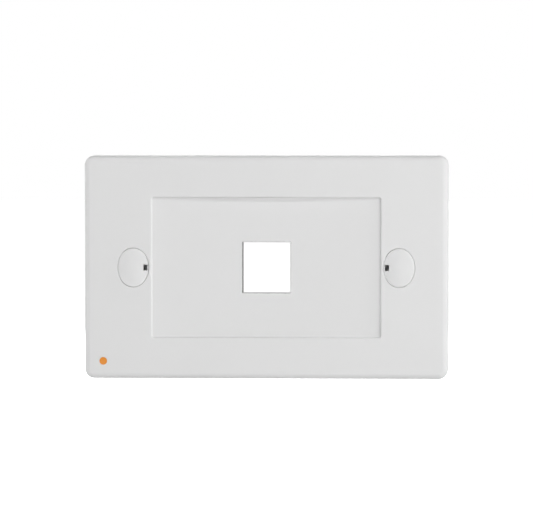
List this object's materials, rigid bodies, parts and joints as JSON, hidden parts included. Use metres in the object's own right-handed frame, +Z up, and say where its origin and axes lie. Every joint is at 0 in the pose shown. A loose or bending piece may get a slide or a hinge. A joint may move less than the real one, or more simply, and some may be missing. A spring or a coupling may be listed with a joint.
{
  "type": "keystone faceplate",
  "caption": "Landscape wall faceplate with a crowned frame, a recessed clip-in insert with a keystone port, and oval push-in screw caps with pry slots.",
  "frame": {"origin": "middle of the plate on the wall plane, midway between the screw holes at the frame's back face", "axes": "+X to the right along the plate's length, +Z up, +Y into the wall, so the face that is seen looks along -Y"},
  "size_m": [0.115, 0.01, 0.0706],
  "materials": {
    "frame_plastic": "satin",
    "insert_plastic": "satin",
    "cap_plastic": "satin",
    "dot_plastic": "satin"
  },
  "bodies": {
    "frame": {"faceplate_frame": "frame_plastic", "port_insert": "insert_plastic", "ident_dot": "dot_plastic"},
    "left_cap": {"screw_cap_left": "cap_plastic"},
    "right_cap": {"screw_cap_right": "cap_plastic"}
  },
  "joints": [
    {"name": "left_cap_pull", "type": "slide", "parent": "frame", "child": "left_cap", "axis": [0, -1, 0], "range_m": [0, 0.015]},
    {"name": "right_cap_pull", "type": "slide", "parent": "frame", "child": "right_cap", "axis": [0, -1, 0], "range_m": [0, 0.015]}
  ]
}
